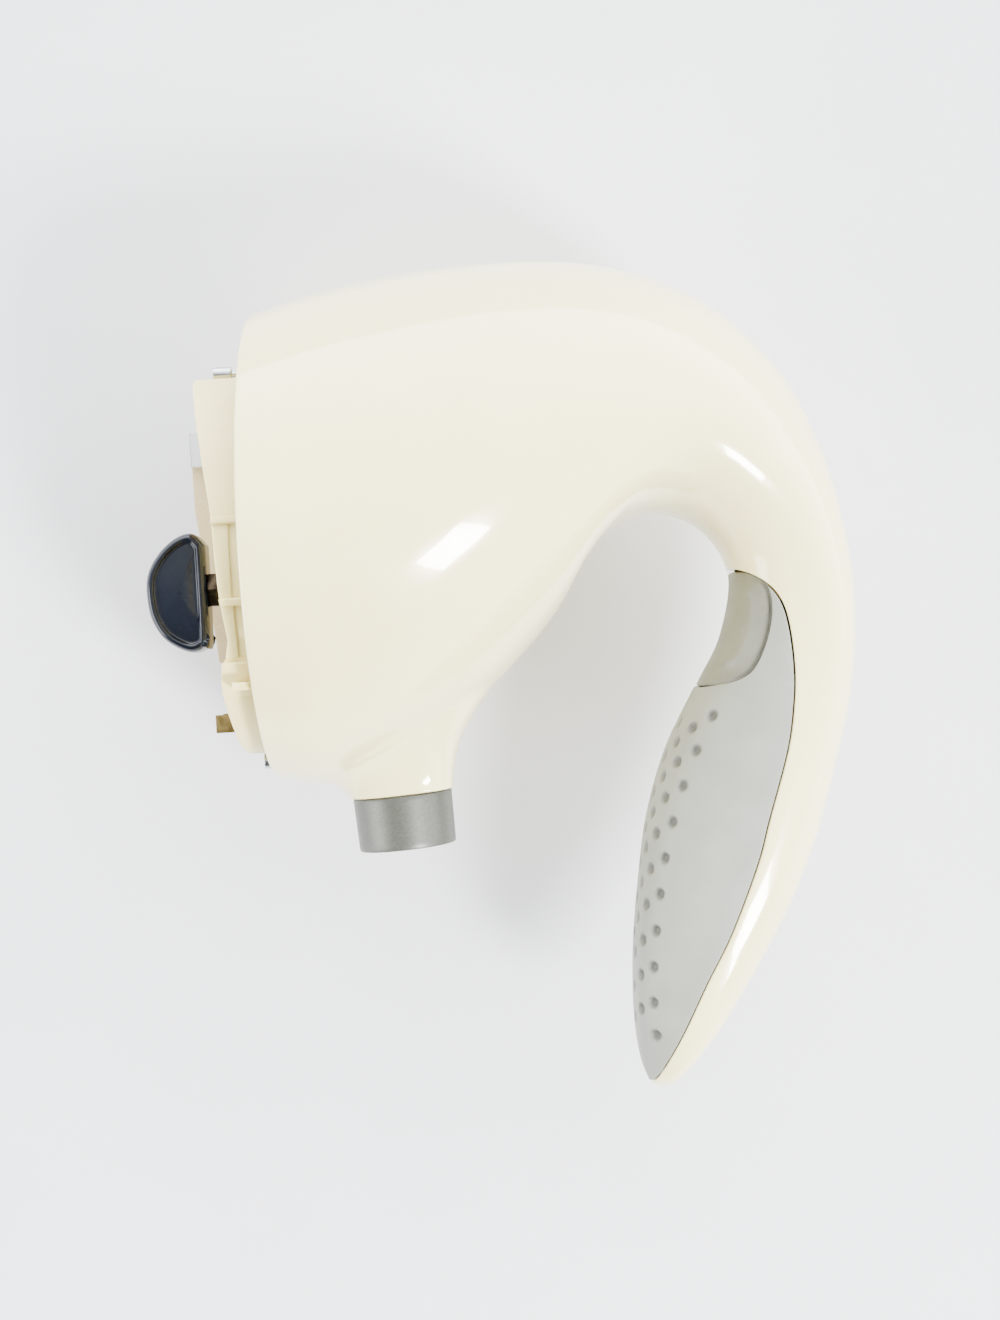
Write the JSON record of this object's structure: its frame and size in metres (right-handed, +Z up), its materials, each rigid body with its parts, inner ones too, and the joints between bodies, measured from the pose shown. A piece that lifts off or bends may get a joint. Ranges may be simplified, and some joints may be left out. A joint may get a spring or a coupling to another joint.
{
  "type": "hair dryer",
  "caption": "Cream hook-handled hair dryer: round intake mouth, short collared outlet, grey dimpled grip with trigger, black selector knob.",
  "frame": {"origin": "centre of the footprint at table height, with the dryer lying on its far side", "axes": "+Z up, away from the table; +X from the intake mouth towards the handle; +Y from the outlet towards the crown"},
  "size_m": [0.1889, 0.2233, 0.1246],
  "materials": {
    "cream_shell": "gloss",
    "grip_grey": "soft touch matte",
    "trigger_grey": "soft touch matte",
    "collar_grey": "satin metallic grey",
    "frame_cream": "satin",
    "inner_cream": "satin",
    "knob_black": "gloss",
    "clear_plastic": "clear",
    "lamp_amber": "translucent",
    "insulation_board": "laminated board, matte",
    "mica": "satin",
    "phenolic": "satin",
    "dark_plastic": "matte",
    "red_plastic": "satin",
    "white_plastic": "satin",
    "black_rubber": "matte",
    "green_board": "satin",
    "ferrite": "matte",
    "steel": "zinc plated",
    "spring_steel": "bright drawn wire",
    "heater_wire": "oxidised resistance wire",
    "chrome": "polished",
    "brass": "dulled",
    "bronze": "dark",
    "copper": "enamelled"
  },
  "bodies": {
    "housing": {"shell_near": "cream_shell", "shell_far": "cream_shell", "grip_pad": "grip_grey", "trigger_pin": "steel", "trigger_spring": "spring_steel", "micro_switch": "dark_plastic", "collar_clip": "spring_steel", "heater_barrel": "insulation_board", "outlet_grille": "steel", "heater_cross": "mica", "heater_coil": "heater_wire", "thermal_cutout": "steel", "fan_housing": "inner_cream", "motor_mount": "dark_plastic", "damper_ring": "black_rubber", "motor_can": "steel", "motor_end_cap": "dark_plastic", "motor_magnets": "ferrite", "motor_bushes": "bronze", "brush_holders": "brass", "rectifier_board": "green_board", "intake_guard": "steel", "front_frame": "frame_cream", "spindle_nut": "bronze", "rotary_switch": "phenolic", "interlock_spring": "spring_steel", "terminal_board": "insulation_board", "terminal_blades": "brass", "pilot_lens": "clear_plastic", "pilot_lamp": "lamp_amber", "frame_screws": "chrome", "shell_screws": "steel"},
    "trigger": {"trigger": "trigger_grey"},
    "plunger": {"switch_plunger": "red_plastic"},
    "collar": {"outlet_collar": "collar_grey"},
    "selector": {"selector_knob": "knob_black", "knob_spindle": "steel"},
    "rotor": {"fan_impeller": "white_plastic", "fan_nut": "brass", "motor_shaft": "steel", "armature": "copper", "commutator": "copper"},
    "interlock": {"interlock_pin": "chrome"}
  },
  "joints": [
    {"name": "trigger_pull", "type": "hinge", "parent": "housing", "child": "trigger", "pos_m": [0.069, 0.0205, 0.062], "axis": [0, 0, 1], "range_deg": [0, 6], "stiffness_Nm_per_rad": 0.6, "springref_deg": -5.73, "deforming": ["trigger_spring"]},
    {"name": "plunger_push", "type": "slide", "parent": "housing", "child": "plunger", "axis": [1, 0, 0], "range_m": [0, 0.0025]},
    {"name": "collar_twist", "type": "hinge", "parent": "housing", "child": "collar", "pos_m": [-0.02882, -0.03631, 0.062], "axis": [0.0593, -0.9982, 0], "range_deg": [0, 35]},
    {"name": "selector_turn", "type": "hinge", "parent": "housing", "child": "selector", "pos_m": [-0.086, 0.0285, 0.062], "axis": [1, 0, 0], "range_deg": [-60, 60]},
    {"name": "fan_spin", "type": "hinge", "parent": "housing", "child": "rotor", "pos_m": [-0.021, 0.039, 0.062], "axis": [1, 0, 0], "continuous": true},
    {"name": "interlock_press", "type": "slide", "parent": "housing", "child": "interlock", "axis": [1, 0, 0], "range_m": [0, 0.003], "stiffness_N_per_m": 300, "springref_m": -0.002, "deforming": ["interlock_spring"]}
  ],
  "couplings": [
    {"joint": "plunger_push", "follows": "trigger_pull", "m_per_rad": 0.015}
  ]
}
